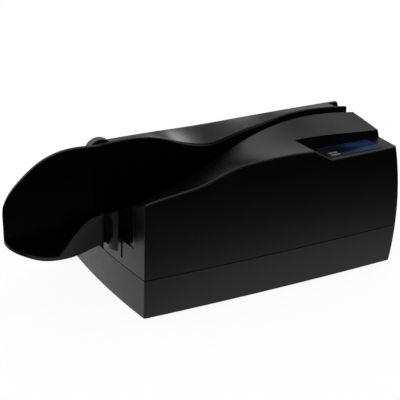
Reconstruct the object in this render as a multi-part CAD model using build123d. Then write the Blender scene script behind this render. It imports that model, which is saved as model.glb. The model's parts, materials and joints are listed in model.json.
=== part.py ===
from build123d import *

import math
import os

# Desk-top cheque scanner. A cheque stands on its long edge in the entry wing at the left, is drawn
# through a narrow track by pairs of rollers and leaves at the right end. The front housing holds
# what reads it, the hinged rear cover holds what drives it.
# Working frame while modelling, in mm: X runs right from the left end along the front, Y back from
# the front, Z up from the desk. Each piece is moved to the middle of the footprint when written.

# ---------------------------------------------------------------- driving dimensions: body
body_length = 190.0
body_depth = 112.0
drawn_length = 190.0         # body length for which the wavy profiles below are drawn
wall = 2.2
base_underside = 1.0
floor_thickness = 2.5
parting_height = 27.0
parting_gap = 0.6
front_bow = 3.4              # sagitta of the front face in plan
front_bow_margin = 30.0      # how far past each end that arc is drawn
end_bow = 2.4                # sagitta of both ends in plan
end_draft = 1.7              # degrees, left end
end_bulge = 4.9              # how far the right end swells beyond the body length
end_tuck = 2.4               # how far its top draws in again
bulge_height = 36.0
end_sweep = 24.0             # degrees of arc that the bowed ends are turned through
ceiling = 120.0              # above everything
past = 30.0                  # how far a cutter runs past the body
over = 1.0                   # how far a cutter runs past one face
bite = 0.5                   # how far a joined piece reaches into the next
edge_radius = 1.0            # of the moulded outside edges
rim_radius = 0.8             # of the thin edges along the track and the wing
edge_tolerance = 0.4         # when an edge is found by its place

# ---------------------------------------------------------------- driving dimensions: track and tops
track_y = 56.0
track_width = 3.0
track_floor = 34.0
deck_thickness = 2.5
fence_thickness = 2.5
fence_overhang = 0.9
cover_gap = 0.4
ridge_lead = 5.0             # from the hump's ridge to the track
edge_setback = 10.9          # from the fence to the cover's straight top edge
rear_edge_z = 97.2

# wavy tops as (x, z): along the front face, along the ridge, at the track's mouth, along the fence
front_top = [(0, 77), (27, 81.3), (41, 83.4), (55, 87.8), (69, 91.6), (84, 93.1), (112, 93.9),
             (155, 89.8), (190, 87.2)]
ridge_top = [(0, 54.1), (20, 56.5), (42, 62), (64, 70.6), (91, 83.3), (122, 94.0), (140, 96.9),
             (160, 97.4), (190, 94.7)]
mouth_top = [(0, 51.4), (20, 53.0), (42, 57.2), (64, 64.2), (91, 76), (122, 87.0), (140, 90.2),
             (160, 90.8), (190, 88.5)]
fence_top = [(-10, 98.9), (12, 99.1), (28, 99.0), (43, 96.3), (60, 89.8), (70, 87.0), (80, 85.6), (91, 87.2),
             (109, 91.5), (120, 93.4), (140, 97.5), (160, 98.8), (191, 96.2)]

# entry wing in plan, as (x, distance behind the fence's face) and (x, distance behind the track's front)
sheet_plan = [(-14, 2.2), (-26, 5.4), (-37, 10.2), (-48, 17.2), (-59.8, 27.5)]
sheet_heading = (-0.75, 0.66)  # of the sheet at its tip
rim_plan = [(-13.7, -5.8), (-25.5, -10.8), (-37, -11.9), (-46.8, -8.5), (-54.1, 0.9), (-59.8, 16)]
sheet_top = [(-60.5, 45), (-59.0, 56), (-55.5, 66), (-48.5, 77.8), (-37, 90.6), (-24, 97.3),
             (-10, 98.9), (2, 98.9)]
cheek_top = [(-40, 30.0), (-33.5, 38.2), (-25.5, 46.4), (-15, 51.8), (-4, 52.4)]
cheek_share = 0.5            # of the rim that the cheek stands on
cheek_thickness = 2.2
cheek_overlap = 0.8          # of the cheek's line with the track's front
post_gap = 3.2               # between the cheek and the post

# ---------------------------------------------------------------- driving dimensions: panel and left end
recess_run = 52.0            # from the ramp's foot to the right end
recess_floor = 85.0
recess_depth = 20.8
ramp_run = 14.0
ramp_rise = 8.0
ramp_radius = 8.0
panel_margin = (0.6, 9.0)    # from the ramp's foot and from the right end
panel_y = (0.9, 19.8)
panel_pocket = 1.0
panel_thickness = 1.25
indicator_inset = 2.9
indicator_length = 7.0
indicator_width = 1.8
indicator_ys = (3.3, 7.0)
pipe_length = 4.6
status_board_length = 22.0
status_board_depth = 12.2
status_board_margin = 4.0
lamp_length = 3.0
lamp_height = 1.0
status_post_radius = 1.8
status_post_inset = 2.0      # of each post from the board's end
pocket_front = 13.0
pocket_back = 32.5
pocket_depth = 5.0
pocket_floor = 44.0
post_bulge = 1.6
post_foot = 34.0
slit_width = 2.4
slit_setback = 5.0           # of the slit's front edge from the pocket's back
slit_depth = 6.0
slit_bottom = 31.7

# ---------------------------------------------------------------- driving dimensions: tray
lip_clearance = 0.25
lip_thickness = 1.2
lip_height = 2.2
lip_root = 3.5
boss_radius = 3.6
boss_inset = 12.0
rear_boss_inset = 16.0
boss_rise = 12.0
screw_radius = 1.5
screw_head_radius = 2.8
screw_head_height = 2.2
screw_head_recess = 0.6
screw_bite = 8.0
screw_clearance = 0.1
board_thickness = 1.6
board_height = 7.0
board_margin_left = 28.0
board_margin_right = 38.0
board_margin_front = 22.0
board_margin_back = 6.0
standoff_radius = 3.0
standoff_inset = 5.0
foot_radius = 7.0
foot_recess = 0.6
foot_inset = 28.0
foot_setback = 16.0
usb_x = (40.0, 52.0)
usb_height = 11.0
usb_shell = 1.0
usb_tongue = 3.2
jack_x = (66.0, 75.0)
jack_height = 11.0
jack_bore_radius = 3.2
jack_pin_radius = 1.0
socket_depth = 16.0
socket_setback = 0.8
socket_bore = 9.0
socket_gap = 0.3
chips = [(0.40, 0.35, 18.0), (0.68, 0.32, 12.0), (0.25, 0.55, 9.0)]  # shares of the board, side
chip_height = 2.0
capacitor_place = (0.75, 0.8)
capacitor_radius = 4.0
capacitor_height = 6.0

# ---------------------------------------------------------------- driving dimensions: hinge, tab, notch
hinge_inset = 5.1            # from the back of the body
hinge_height = 30.0
hinge_pin_radius = 1.25
hinge_pin_grip = 8.0         # of each pin in the cover, beside its ear
knuckle_radius = 3.0
ear_width = 6.0
ear_inset = 18.0
ear_root = 8.0
tab_x = 1.8                  # middle of the round lift tab
tab_setback = 1.5            # behind the fence
tab_depth = 6.0
tab_crown = 3.8              # above the cover's straight edge
tab_radius = 9.7
tab_thickness = 4.6
notch_length = 8.0
notch_depth = 8.0
notch_drop = 6.7

# ---------------------------------------------------------------- driving dimensions: drive
running_clearance = 0.05
free_clearance = 0.4
shaft_radius = 2.0
bush_radius = 4.0
bush_flange = 1.0
roller_radius = 7.0
roller_rise = 5.0            # rollers above the track floor
roller_length = 16.0
shaft_reach = 7.0            # of each shaft above its roller
shaft_foot = 1.0             # of each shaft below its pulley
shelf_rise = 2.0             # of the upper bearing above the roller
shelf_thickness = 4.0
shelf_width = 12.0
shelf_depth = 5.0            # of the bearing's shelf behind the shaft
roller_room = 1.2            # above and below a roller in the fence
platen_radius = 6.0
platen_rise = 2.5
platen_length = 44.0
platen_reach = 0.5           # of the platen into the track from its front wall
nip_gap = 0.3
pulley_radius = 8.0
flange_height = 1.0
pulley_foot = 18.0
belt_width = 6.0
belt_thickness = 1.4
belt_gap = 0.3               # between the belt and the pulleys' seats
entry_x = 44.0
head_x = 66.0
sensor_inset = 62.0          # from the right end
exit_inset = 30.0
motor_lead = 20.0            # from the head to the motor
motor_setback = 1.5          # behind the fence
motor_radius = 11.0
motor_length = 20.0
motor_flange_thickness = 1.5
motor_flange_length = 34.0
motor_flange_width = 14.0
motor_boss_radius = 4.0
motor_bore_depth = 9.0
motor_edge_radius = 1.5
motor_pulley_radius = 5.0
motor_shaft_radius = 1.5

# ---------------------------------------------------------------- driving dimensions: readers
pinch_radius = 5.0
pinch_length = 12.0
pinch_rise = 3.4
pinch_pivot_x = 17.0         # from the roller to its arm's pivot
pinch_pivot_y = 5.5
pinch_pin_radius = 1.5
axle_radius = 1.0
slot_room = 2.4              # around a pinch roller in the track's wall
arm_thickness = 2.0
arm_tube_radius = 2.7
arm_pivot_radius = 3.0
arm_tip_radius = 2.4
spring_wire = 0.55           # side of the square wire
head_coil_radius = 1.7
head_coil_turns = 3
pinch_coil_radius = 2.2
pinch_coil_turns = 2
pinch_coil_length = 2.0
pin_head_height = 0.8
pin_head_radius = 2.6
head_width = 10.0
head_height = 12.0
head_rise = 3.0
head_depth = 8.0             # from its back to the track
head_lean = 2.3              # of its nose into the track
head_nose_radius = 3.5
head_travel = 1.2
carrier_width = 18.0
carrier_depth = 4.0
carrier_margin = 1.0         # above and below the head
rod_spacing = 13.0
bracket_depth = 3.0
bracket_setback = 19.0       # of its face from the track
bracket_foot = 8.0
bracket_foot_height = 2.0
sensor_width = 12.0
sensor_rise = 1.0
sensor_length = 45.0
sensor_depth = 12.6
sensor_slot = (2.4, 4.0)     # width and depth of its window
sensor_margin = 3.0
glass_thickness = 1.2
glass_margin = 0.8
sensor_bracket_width = 18.0
sensor_bracket_height = 33.0
sensor_bracket_foot = 12.0
sensor_bracket_sheet = 2.0
sensor_bracket_sole = 0.9
gate_size = (6.0, 3.7, 14.0)
gate_gap = 0.3
gate_leads = (-12.0, 14.0)   # from the head and from the exit rollers

# ---------------------------------------------------------------- places that follow
fence_y = track_y + track_width
fence_back = fence_y + fence_thickness
cover_front = fence_back + cover_gap
ridge_y = track_y - ridge_lead
rear_edge_y = fence_back + edge_setback
hinge_y = body_depth - hinge_inset
track_middle = track_y + track_width / 2
deck_underside = track_floor - deck_thickness
wing_underside = deck_underside
base_top = parting_height - parting_gap / 2
shell_foot = parting_height + parting_gap / 2
tray_floor = base_underside + floor_thickness
wall_back = track_y - wall
sensor_x = body_length - sensor_inset
exit_x = body_length - exit_inset
motor_x = head_x + motor_lead
motor_y = fence_back + motor_setback + motor_radius
roller_foot = track_floor + roller_rise
platen_foot = track_floor + platen_rise
pinch_foot = track_floor + pinch_rise
head_foot = track_floor + head_rise
head_back = track_y - head_depth
sensor_foot = track_floor + sensor_rise
sensor_back = track_y - glass_thickness - sensor_depth
pulley_height = 2 * flange_height + belt_width + 2 * free_clearance
pulley_top = pulley_foot + pulley_height
slope_rise = rear_edge_z - parting_height
slope_length = math.hypot(body_depth - rear_edge_y, slope_rise)
slope_normal = (slope_rise / slope_length, (body_depth - rear_edge_y) / slope_length)
recess_foot_x = body_length - recess_run
panel_x = (recess_foot_x + panel_margin[0], body_length - panel_margin[1])
panel_floor = recess_floor - panel_pocket
panel_top = panel_floor + panel_thickness
indicator_x = panel_x[0] + indicator_inset
status_board_x = indicator_x - status_board_margin
status_board_y = wall + free_clearance
status_board_top = panel_top - pipe_length - lamp_height
board_top = board_height + board_thickness
board_x = (board_margin_left, body_length - board_margin_right)
board_y = (board_margin_front, body_depth - board_margin_back)
ear_places = (ear_inset, body_length - ear_inset - ear_width)
front_bosses = [(boss_inset, boss_inset), (body_length - boss_inset, boss_inset)]
rear_bosses = [(x, body_depth - rear_boss_inset) for x, y in front_bosses]
foot_places = [(x, y) for x in (foot_inset, body_length - foot_inset)
               for y in (foot_setback, body_depth - foot_setback)]
through = (-past - body_length / 2, body_length + body_depth + past)


# ---------------------------------------------------------------- helpers
def block(x_range, y_range, z_range):
    """Box between two values on each axis."""
    (x0, x1), (y0, y1), (z0, z1) = x_range, y_range, z_range
    return Pos((x0 + x1) / 2, (y0 + y1) / 2, (z0 + z1) / 2) * Box(x1 - x0, y1 - y0, z1 - z0)


def rod(x, y, z_range, radius):
    """Vertical cylinder."""
    z0, z1 = z_range
    return Pos(x, y, (z0 + z1) / 2) * Cylinder(radius, z1 - z0)


def rod_x(x_range, y, z, radius):
    """Cylinder along X."""
    x0, x1 = x_range
    return Pos((x0 + x1) / 2, y, z) * Rot(0, 90, 0) * Cylinder(radius, x1 - x0)


def rod_y(x, z, y_range, radius):
    """Cylinder along Y."""
    y0, y1 = y_range
    return Pos(x, (y0 + y1) / 2, z) * Rot(90, 0, 0) * Cylinder(radius, y1 - y0)


def around(middle, width):
    """Range of a given width about its middle."""
    return middle - width / 2, middle + width / 2


def grown(span, margin):
    """Range that reaches past another by a margin at both ends."""
    return span[0] - margin, span[1] + margin


def fuse(shapes):
    """One node out of several solids."""
    whole = shapes[0]
    for shape in shapes[1:]:
        whole += shape
    return whole


def rounded(shape, keep, radius):
    """Fillet on the edges whose bounding boxes pass a test."""
    return fillet([edge for edge in shape.edges() if keep(edge.bounding_box())], radius)


# ---------------------------------------------------------------- outer form
def end_block(x_end, profile, facing):
    """Everything inside one bowed end: its profile turned about an upright axis far inside the body."""
    radius = (end_bow**2 + (body_depth / 2) ** 2) / (2 * end_bow)
    axis_x = x_end + (end_bow - radius) * facing
    turning = Axis((axis_x, body_depth / 2, 0), (0, 0, 1))
    start = make_face(profile(axis_x)).rotate(turning, -end_sweep / 2)
    return revolve(start, axis=turning, revolution_arc=end_sweep)


def left_profile(inset):
    """Straight, slightly drafted left end."""
    lean = math.tan(math.radians(end_draft)) * ceiling

    def edges(axis_x):
        foot = inset - end_bow
        corners = [(foot, 0), (axis_x, 0), (axis_x, ceiling), (foot + lean, ceiling)]
        return Polyline(*[(x, body_depth / 2, z) for x, z in corners], close=True)

    return edges


def right_profile(inset):
    """Right end that swells at the height of the bulge and draws in towards the top."""
    def edges(axis_x):
        end, middle = body_length + end_bow - inset, body_depth / 2
        foot = (end, middle, 0)
        bulge, top = (end + end_bulge, middle, bulge_height), (end - end_tuck, middle, rear_edge_z)
        arc = ThreePointArc(foot, bulge, top)
        roof = (end - end_tuck, middle, ceiling)
        return [arc, Polyline(arc @ 1, roof, (axis_x, middle, ceiling), (axis_x, middle, 0), foot)]

    return edges


def envelope(inset=0.0):
    """Body from the desk to the ceiling: bowed front and ends, and a flat back."""
    left, right = -front_bow_margin, body_length + front_bow_margin
    front = ThreePointArc((left, inset, 0), (body_length / 2, inset - front_bow, 0), (right, inset, 0))
    rest = Polyline(front @ 1, (right, body_depth - inset, 0), (left, body_depth - inset, 0), front @ 0)
    plan = extrude(make_face([front, rest]), amount=ceiling)
    return plan & end_block(0, left_profile(inset), -1) & end_block(body_length, right_profile(inset), 1)


def fitted(profile, drop=0.0):
    """Profile stretched to the body's length and lowered."""
    return [(x * body_length / drawn_length, z - drop) for x, z in profile]


def section_above(points, y):
    """Face above a wavy line of (x, z) points, at one y."""
    line = Spline(*[(x, y, z) for x, z in points])
    left, right = line @ 0, line @ 1
    roof = ceiling + past
    rest = Polyline(right, (through[1], y, right.Z), (through[1], y, roof), (through[0], y, roof),
                    (through[0], y, left.Z), left)
    return make_face([line, rest])


def height_at(points, x):
    """Height of a profile between its stations."""
    for (x0, z0), (x1, z1) in zip(points, points[1:]):
        if x <= x1:
            return z0 + (z1 - z0) * (x - x0) / (x1 - x0)
    return points[-1][1]


def front_top_cutter(drop=0.0):
    """Everything above the front housing's top, lowered by drop: one ruled slope each side of the ridge."""
    near, far = fitted(front_top, drop), fitted(ridge_top, drop)
    ahead = -front_bow - edge_radius
    share = ahead / ridge_y
    front = section_above([(x, z + (height_at(far, x) - z) * share) for x, z in near], ahead)
    ridge = section_above(far, ridge_y)
    mouth = section_above(fitted(mouth_top, drop), track_y + edge_radius)
    return loft([front, ridge], ruled=True) + loft([ridge, mouth], ruled=True)


def recess_cutter(inset=0.0):
    """Open-sided recess at the right front: ramp with a rounded foot, shelf and back wall."""
    rise = ceiling - recess_floor
    high_x = recess_foot_x - ramp_run * rise / ramp_rise
    ramp_top, end = (high_x, 0, ceiling), (through[1], 0, recess_floor)
    line = FilletPolyline(ramp_top, (recess_foot_x, 0, recess_floor), end, radius=ramp_radius)
    face = make_face([line, Polyline(end, (through[1], 0, ceiling), ramp_top)])
    return Pos(-inset, -past, -inset) * extrude(face, amount=past + recess_depth + inset, dir=(0, 1, 0))


def pocket_cutter(inset=0.0):
    """Upright pocket in the left end, open at the top."""
    return block((through[0], pocket_depth + inset), grown((pocket_front, pocket_back), inset),
                 (pocket_floor - inset, ceiling))


def post_solid():
    """Rounded upright post on the left end, between the pocket and the track."""
    middle = (pocket_back + wall_back) / 2
    lean = math.tan(math.radians(end_draft)) * post_foot
    arc = ThreePointArc((lean, pocket_back, post_foot), (-end_bow - post_bulge, middle, post_foot),
                        (lean, wall_back, post_foot))
    corners = [(pocket_depth, wall_back, post_foot), (pocket_depth, pocket_back, post_foot)]
    root = Polyline(arc @ 1, *corners, arc @ 0)
    return extrude(make_face([arc, root]), amount=ceiling - post_foot)


def front_form(inset=0.0, back=wall_back):
    """Front housing as a solid block, or its inside when inset by the wall."""
    form = envelope(inset) & block(through, (through[0], back), (shell_foot, ceiling))
    form -= front_top_cutter(inset)
    form -= recess_cutter(inset)
    return form - pocket_cutter(inset)


# ---------------------------------------------------------------- housings
def lower_housing():
    """Shallow tray with bosses for the deck, stand-offs for the board and two hinge ears at the back."""
    outer = envelope() & block(through, through, (base_underside, base_top))
    outer = rounded(outer, lambda box: box.max.Y < wall and box.size.Z > floor_thickness, edge_radius)
    tray = outer - (envelope(wall) & block(through, through, (tray_floor, ceiling)))
    tray += tray_lip()
    for place in front_bosses + rear_bosses:
        tray += rod(*place, (base_underside, deck_underside), boss_radius)
        tray -= rod(*place, through, screw_radius + screw_clearance)
        tray -= rod(*place, (through[0], base_underside + screw_head_height), screw_head_radius + socket_gap)
    for place in board_places():
        tray += rod(*place, (base_underside, board_height), standoff_radius)
    for place in foot_places:
        tray -= rod(*place, (through[0], base_underside + foot_recess), foot_radius + screw_clearance)
    for x in ear_places:
        tray += hinge_ear(x)
    for span, height in ((usb_x, usb_height), (jack_x, jack_height)):
        tray -= block(grown(span, socket_gap), (body_depth - wall - past, body_depth + past),
                      grown((board_top, board_top + height), socket_gap)) & rear_wall_zone()
    return tray


def rear_wall_zone():
    """Where the tray's back wall is, so that a socket's cut-out stays in it."""
    return block(through, (body_depth - wall - over, body_depth + over), through)


def tray_lip():
    """Lip inside the front and the ends that the front housing drops over, on a root inside the wall."""
    inner = envelope(wall + lip_clearance + lip_thickness)
    zone = (through[0], wall_back - socket_gap)
    foot = base_top - lip_root
    lip = (envelope(wall + lip_clearance) - inner) & block(through, zone, (foot, base_top + lip_height))
    root = (envelope(wall) - inner) & block(through, zone, (foot, base_top - lip_clearance))
    return lip + root


def board_places():
    """Stand-offs under the board's corners."""
    (x0, x1), (y0, y1) = grown(board_x, -standoff_inset), grown(board_y, -standoff_inset)
    return [(x0, y0), (x1, y0), (x0, y1), (x1, y1)]


def hinge_ear(x):
    """Round-topped ear behind the tray's back wall that carries one hinge pin."""
    width = (x, x + ear_width)
    stem = block(width, around(hinge_y, 2 * knuckle_radius), (base_top - ear_root, hinge_height))
    ear = stem + rod_x(width, hinge_y, hinge_height, knuckle_radius)
    return ear - rod_x(grown(width, over), hinge_y, hinge_height, hinge_pin_radius + running_clearance)


def front_edges(box):
    """Outer edges of the front face above the parting line, and the pocket's outer front edge."""
    at_front = box.max.Y < 0 and box.max.Z > bulge_height + past and box.size.length > wall
    at_pocket = abs(box.center().Y - pocket_front) < edge_tolerance and box.max.X < wall
    return at_front or (at_pocket and box.size.Z > wall)


def front_housing():
    """Bowed front moulding with its wavy top, panel recess, pocket and post, open behind and underneath."""
    outer = rounded(front_form(), front_edges, edge_radius)
    shell = outer + (post_solid() - front_top_cutter()) - front_form(wall, track_y)
    slit = (pocket_back - slit_setback, pocket_back - slit_setback + slit_width)
    shell -= block((through[0], slit_depth), slit, (slit_bottom, pocket_floor + edge_tolerance))
    panel = grown(panel_x, running_clearance), grown(panel_y, running_clearance)
    shell -= block(*panel, (panel_floor, ceiling))
    for pipe in light_pipes(screw_clearance):
        shell -= pipe
    for place in front_bosses:
        boss = rod(*place, (track_floor, ceiling), boss_radius) & front_form(wall / 2)
        shell += boss - rod(*place, (through[0], track_floor + boss_rise), screw_radius)
    for x in (status_board_x + status_post_inset, status_board_x + status_board_length - status_post_inset):
        post_y = status_board_y + status_board_depth - status_post_inset
        shell += rod(x, post_y, (status_board_top, recess_floor - wall / 2), status_post_radius)
    return shell


def track_wall():
    """Plate behind the front housing that faces the track; four slots let it drop over the deck's parts."""
    plate = envelope() & block(through, (wall_back, track_y), (shell_foot, ceiling))
    plate -= front_top_cutter()
    plate -= envelope(wall) & block(through, through, (through[0], track_floor))
    for x in (entry_x, exit_x):
        plate -= slot(x, 2 * (pinch_radius + slot_room), pinch_foot + pinch_length + 2 * slot_room)
    plate -= slot(head_x, head_width + slot_room, head_foot + head_height + slot_room / 2)
    return plate - slot(sensor_x, sensor_width + slot_room, sensor_foot + sensor_length + slot_room / 2)


def slot(x, width, top):
    """Cutter for a slot in the track's front wall, open downwards."""
    return block(around(x, width), around(track_y, past), (through[0], top))


def rear_top_cutter(drop=0.0):
    """Everything above the rear cover's ruled top, which rises from the fence to the straight edge."""
    wave = fitted(fence_top, drop)
    low = section_above(wave, fence_back)
    level = rear_edge_z - drop
    ends = wave[0][0], wave[-1][0]
    high = section_above([(ends[0], level), (body_length / 2, level), (ends[1], level)], rear_edge_y)
    return loft([low, high], ruled=True)


def cover_side():
    """Outline of the cover's end, in Y and Z: rounded about the hinge at its back foot."""
    ny, nz = slope_normal
    foot = hinge_height - knuckle_radius
    turn = (math.atan2(nz, ny) - math.pi / 2) / 2
    middle = (0, hinge_y + knuckle_radius * math.cos(turn), hinge_height + knuckle_radius * math.sin(turn))
    bend = ThreePointArc((0, hinge_y, foot), middle,
                         (0, hinge_y + knuckle_radius * ny, hinge_height + knuckle_radius * nz))
    top = (0, rear_edge_y, rear_edge_z)
    corners = [(0, rear_edge_y, ceiling), (0, cover_front, ceiling), (0, cover_front, foot)]
    rest = Polyline(top, *corners, (0, hinge_y, foot))
    return make_face([bend, Line(bend @ 1, top), rest])


def cover_inside():
    """Outline of the cover's inside, in Y and Z, open to the track and to the tray."""
    ny, nz = slope_normal
    top_y = rear_edge_y - wall / ny
    reach = knuckle_radius - wall
    bar_front = hinge_y - knuckle_radius
    corners = [(cover_front - past, -past), (bar_front, -past), (bar_front, hinge_height),
               (hinge_y + reach * ny - knuckle_radius * nz, hinge_height + reach * nz + knuckle_radius * ny),
               (top_y, rear_edge_z), (top_y, ceiling), (cover_front - past, ceiling)]
    return make_face(Polyline(*[(0, y, z) for y, z in corners], close=True))


def cover_form(side, inset=0.0):
    """Rear cover as a solid block, or its inside when inset by the wall."""
    length = through[1] - through[0]
    form = envelope(inset) & Pos(through[0], 0, 0) * extrude(side, amount=length, dir=(1, 0, 0))
    form -= rear_top_cutter(inset)
    notch_x = (body_length - notch_length - inset, through[1])
    notch_y = (through[0], fence_back + notch_depth + inset)
    return form - block(notch_x, notch_y, (rear_edge_z - notch_drop - inset, ceiling))


def cover_edges(box):
    """The cover's straight top edge and the sloping edges of its two ends."""
    along_top = box.size.X > past and box.min.Z > bulge_height and box.min.Y > rear_edge_y - edge_tolerance
    down_the_end = box.size.X < past and box.size.Y > past / 2 and box.size.Z > past
    return along_top or down_the_end


def rear_cover():
    """Hinged cover: ruled top, sloping back, two ends, a lift tab and a bored bar along its foot."""
    shell = rounded(cover_form(cover_side()), cover_edges, edge_radius)
    shell = rounded(shell, rim_edges, rim_radius) - cover_form(cover_inside(), wall)
    room = knuckle_radius + free_clearance
    for x in ear_places:
        gap = grown((x, x + ear_width), free_clearance)
        shell -= rod_x(gap, hinge_y, hinge_height, room)
        shell -= block(gap, (hinge_y - room, hinge_y + knuckle_radius), (through[0], hinge_height))
    for pin in hinge_pins().solids():
        shell -= pin
    return shell + lift_tab()


def lift_tab():
    """Round tab that stands past the cover's left end, for a finger."""
    crown = rear_edge_z + tab_crown
    front = fence_back + tab_setback
    disc = rod_y(tab_x, crown - tab_radius, (front, front + tab_depth), tab_radius)
    return disc & block(through, through, (crown - tab_thickness, crown))


def hinge_pins():
    """Two steel pins through the ears, tight in the cover's knuckle bar."""
    return fuse([rod_x(grown((x, x + ear_width), hinge_pin_grip), hinge_y, hinge_height, hinge_pin_radius)
                 for x in ear_places])


# ---------------------------------------------------------------- track
def ribbon(path, thickness, stations=13):
    """Plan face of constant thickness on the back side of a path that runs leftwards."""
    back = []
    for i in range(stations):
        t = i / (stations - 1)
        side = (path % t).cross(Vector(0, 0, 1)).normalized()
        back.append(path @ t + side * thickness)
    return make_face([path, Line(path @ 1, back[-1]), Spline(*back), Line(back[0], path @ 0)])


def above(points):
    """Everything above a wavy line, for every y."""
    return extrude(section_above(points, through[0]), amount=through[1] - through[0], dir=(0, 1, 0))


def roller_stations():
    """x, radius, foot and length of each rear roller."""
    return [(entry_x, roller_radius, roller_foot, roller_length),
            (sensor_x, platen_radius, platen_foot, platen_length),
            (exit_x, roller_radius, roller_foot, roller_length)]


def shaft_y(radius):
    """Rollers reach just past the middle of the track, and the platen nearly to the sensor's glass."""
    face = track_y + platen_reach if radius == platen_radius else track_middle + nip_gap / 2
    return face + radius


def shaft_places():
    """Where the three rear shafts stand."""
    return [(x, shaft_y(radius)) for x, radius, foot, length in roller_stations()]


def rim_edges(box):
    """Long upper edges of a thin upright sheet."""
    return box.size.X > past and box.max.Z > rear_edge_z


def fence():
    """Upright rear side of the track with a hole and an upper bearing for each roller."""
    plate = block((0, body_length + fence_overhang), (fence_y, fence_back), (track_floor, ceiling))
    plate = rounded(plate - above(fitted(fence_top)), rim_edges, rim_radius)
    for x, radius, foot, length in roller_stations():
        y, top = shaft_y(radius), foot + length
        plate -= block(around(x, 2 * (radius + free_clearance)), grown((fence_y, fence_back), over),
                       grown((foot, top), roller_room))
        shaft_top = top + shaft_reach
        plate -= rod(x, y, (track_floor - over, shaft_top + free_clearance), shaft_radius + free_clearance)
        shelf = (top + shelf_rise, top + shelf_rise + shelf_thickness)
        bearing = block(around(x, shelf_width), (fence_back - bite, y + shelf_depth), shelf)
        plate += bearing - rod(x, y, through, shaft_radius + running_clearance)
    return plate


def wing():
    """Entry wing: curved back sheet, floor and a cheek that rises from the rim of the floor."""
    height = ceiling - wing_underside
    stations = [(x, fence_y + y) for x, y in sheet_plan]
    back_line = Spline((0, fence_y), *stations, tangents=[(-1, 0), sheet_heading])
    rim_start = (0, track_y - cheek_thickness + cheek_overlap)
    rim = Spline(rim_start, *[(x, track_y + y) for x, y in rim_plan], back_line @ 1)
    sheet = extrude(ribbon(back_line, fence_thickness), amount=height)
    cheek = extrude(ribbon(rim.trim(0, cheek_share), cheek_thickness), amount=height)
    floor = extrude(make_face([rim, back_line, Line(back_line @ 0, rim @ 0)]), amount=deck_thickness)
    lift = Pos(0, 0, wing_underside)
    form = rounded(lift * sheet - above(sheet_top), rim_edges, rim_radius)
    form += lift * floor + (lift * cheek - above(cheek_top))
    form -= block((-post_gap, past), (through[0], track_y + socket_gap), through)
    tongue = block((-over, wall), (track_y + socket_gap, fence_back), (wing_underside, track_floor))
    return form + tongue


def document_guide():
    """Fence behind the track, swept on into the entry wing."""
    return fence() + wing()


def track_deck():
    """Level plate inside the shells that closes the track's floor and carries the mechanism."""
    zone = (through[0], hinge_y - knuckle_radius - roller_room)
    deck = envelope(wall + lip_clearance + lip_thickness + free_clearance)
    deck &= block((wall, through[1]), zone, (deck_underside, track_floor))
    for place in front_bosses + rear_bosses:
        deck -= rod(*place, through, screw_radius + screw_clearance)
    for place in shaft_places():
        deck -= rod(*place, through, bush_radius)
    for x in (entry_x, exit_x):
        deck -= rod(*pinch_pivot_place(x), through, pinch_pin_radius)
    return deck - rod(motor_x, motor_y, through, motor_shaft_radius + free_clearance)


def shaft_bushes():
    """Flanged bearing bushes in the deck."""
    bushes = []
    for place in shaft_places():
        bush = rod(*place, (deck_underside, track_floor), bush_radius)
        bush += rod(*place, (deck_underside - bush_flange, deck_underside), bush_radius + bush_flange)
        bushes.append(bush - rod(*place, through, shaft_radius + running_clearance))
    return fuse(bushes)


# ---------------------------------------------------------------- rollers, motor and belt
def roller_set(x, radius, foot, length):
    """Steel shaft, roller and flanged belt pulley of one station."""
    y = shaft_y(radius)
    shaft = rod(x, y, (pulley_foot - shaft_foot, foot + length + shaft_reach), shaft_radius)
    roller = rod(x, y, (foot, foot + length), radius) - rod(x, y, through, shaft_radius)
    return shaft, roller, pulley(x, y, pulley_radius, shaft_radius)


def pulley(x, y, radius, bore):
    """Two flanges around the belt's seat."""
    drum = rod(x, y, (pulley_foot, pulley_top), radius)
    for z in (pulley_foot, pulley_top - flange_height):
        drum += rod(x, y, (z, z + flange_height), radius + belt_thickness)
    return drum - rod(x, y, through, bore)


def drive_motor():
    """Round can on the deck with a fixing flange and a hole for its shaft."""
    foot, top = track_floor + motor_flange_thickness, track_floor + motor_length
    can = rod(motor_x, motor_y, (foot, top), motor_radius)
    can = fillet(can.edges().group_by(Axis.Z)[-1], motor_edge_radius)
    width, depth = around(motor_x, motor_flange_length), around(motor_y, motor_flange_width)
    flange = block(width, depth, (track_floor, foot))
    boss = rod(motor_x, motor_y, (top, top + motor_flange_thickness), motor_boss_radius)
    bore_top = track_floor + motor_bore_depth
    bore = rod(motor_x, motor_y, (through[0], bore_top), motor_shaft_radius + running_clearance)
    return can + flange + boss - bore


def motor_shaft():
    """Shaft from inside the motor to the foot of its pulley."""
    top = track_floor + motor_bore_depth - free_clearance
    return rod(motor_x, motor_y, (pulley_foot - shaft_foot, top), motor_shaft_radius)


def drive_belt():
    """Flat ring around the four pulleys."""
    rounds = [(x, y, pulley_radius) for x, y in shaft_places()]
    rounds.append((motor_x, motor_y, motor_pulley_radius))

    def loop(extra):
        plan = make_hull([(Pos(x, y) * Circle(radius + extra)).edge() for x, y, radius in rounds])
        return extrude(plan, amount=belt_width)

    band = loop(belt_gap + belt_thickness) - loop(belt_gap)
    return Pos(0, 0, pulley_foot + flange_height + free_clearance) * band


# ---------------------------------------------------------------- pinch rollers
def pinch_axle_place(x):
    """Axis of the pinch roller that faces the drive roller at x."""
    return x, track_middle - nip_gap / 2 - pinch_radius


def pinch_pivot_place(x):
    """Axis about which its arm swings."""
    axle_x, axle_y = pinch_axle_place(x)
    return axle_x - pinch_pivot_x, axle_y - pinch_pivot_y


def pinch_plates():
    """Heights of the lower and upper plates of a pinch arm."""
    return pinch_foot - free_clearance - arm_thickness, pinch_foot + pinch_length + free_clearance


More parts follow.
